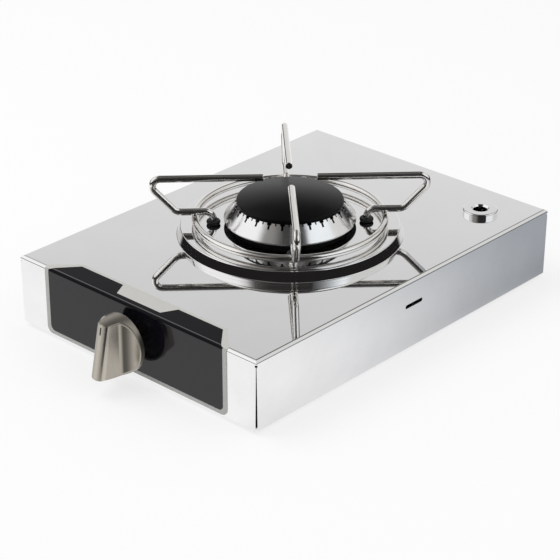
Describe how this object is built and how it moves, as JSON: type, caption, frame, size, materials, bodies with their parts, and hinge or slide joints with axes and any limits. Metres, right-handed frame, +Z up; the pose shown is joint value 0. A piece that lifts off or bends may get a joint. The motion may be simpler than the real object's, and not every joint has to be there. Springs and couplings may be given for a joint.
{
  "type": "single burner gas hob",
  "caption": "Free-standing gas hob: folded polished steel box with stamped plateau, capped ring burner, lift-out wire pan support and push-and-turn knob on the front.",
  "frame": {"origin": "on the worktop under the burner axis, which is the plan centre of the body", "axes": "+X along the front to the right as seen from the front, +Y to the rear, +Z up; the knob is on the front wall at -Y"},
  "size_m": [0.218, 0.3539, 0.0963],
  "materials": {
    "polished_steel": "polished",
    "plain_steel": "satin",
    "screw_steel": "satin",
    "label_film": "satin",
    "black_rubber": "matte",
    "wire_chrome": "polished",
    "cast_aluminium": "satin",
    "crown_aluminium": "polished",
    "cap_enamel": "satin",
    "brass": "satin",
    "probe_steel": "satin",
    "lead_copper": "satin",
    "pipe_aluminium": "satin",
    "knob_metal": "satin",
    "pointer_black": "matte"
  },
  "bodies": {
    "hob": {"base_plate": "plain_steel", "base_screws": "screw_steel", "burner_clamp_ring": "plain_steel", "burner_cup": "cast_aluminium", "burner_screws": "screw_steel", "bush_nut": "plain_steel", "fixing_tabs": "plain_steel", "front_label": "label_film", "gas_inlet_fitting": "brass", "gas_tap_body": "brass", "hob_top": "polished_steel", "injector": "brass", "inlet_lock_nut": "brass", "inlet_pipe": "pipe_aluminium", "magnet_unit": "brass", "pipe_nuts": "brass", "pot_clamp_bush": "polished_steel", "probe_nut": "brass", "rubber_feet": "black_rubber", "supply_pipe": "pipe_aluminium", "support_grommets": "black_rubber", "tap_bracket": "plain_steel", "tap_screws": "screw_steel", "thermocouple_lead": "lead_copper", "thermocouple_nut": "brass", "thermocouple_probe": "probe_steel"},
    "pan_support": {"pan_support_ring": "wire_chrome", "pan_support_arm_right": "wire_chrome", "pan_support_arm_rear": "wire_chrome", "pan_support_arm_left": "wire_chrome", "pan_support_arm_front": "wire_chrome"},
    "burner_crown_lift": {"burner_crown": "crown_aluminium"},
    "burner_cap_lift": {"burner_cap": "cap_enamel"},
    "push_rod": {"tap_push_rod": "screw_steel"},
    "control_knob": {"knob": "knob_metal", "knob_pointer": "pointer_black", "knob_clip": "plain_steel", "tap_spindle": "brass"}
  },
  "joints": [
    {"name": "knob_push", "type": "slide", "parent": "hob", "child": "push_rod", "axis": [0, 1, 0], "range_m": [0, 0.004], "stiffness_N_per_m": 1500, "springref_m": -0.002},
    {"name": "knob_turn", "type": "hinge", "parent": "push_rod", "child": "control_knob", "pos_m": [0, -0.159, 0.0303], "axis": [0, -1, 0], "range_deg": [0, 210]},
    {"name": "pan_support_lift", "type": "slide", "parent": "hob", "child": "pan_support", "axis": [0, 0, 1], "range_m": [0, 0.05]},
    {"name": "crown_lift", "type": "slide", "parent": "hob", "child": "burner_crown_lift", "axis": [0, 0, 1], "range_m": [0, 0.004]},
    {"name": "cap_lift", "type": "slide", "parent": "burner_crown_lift", "child": "burner_cap_lift", "axis": [0, 0, 1], "range_m": [0, 0.005]}
  ]
}
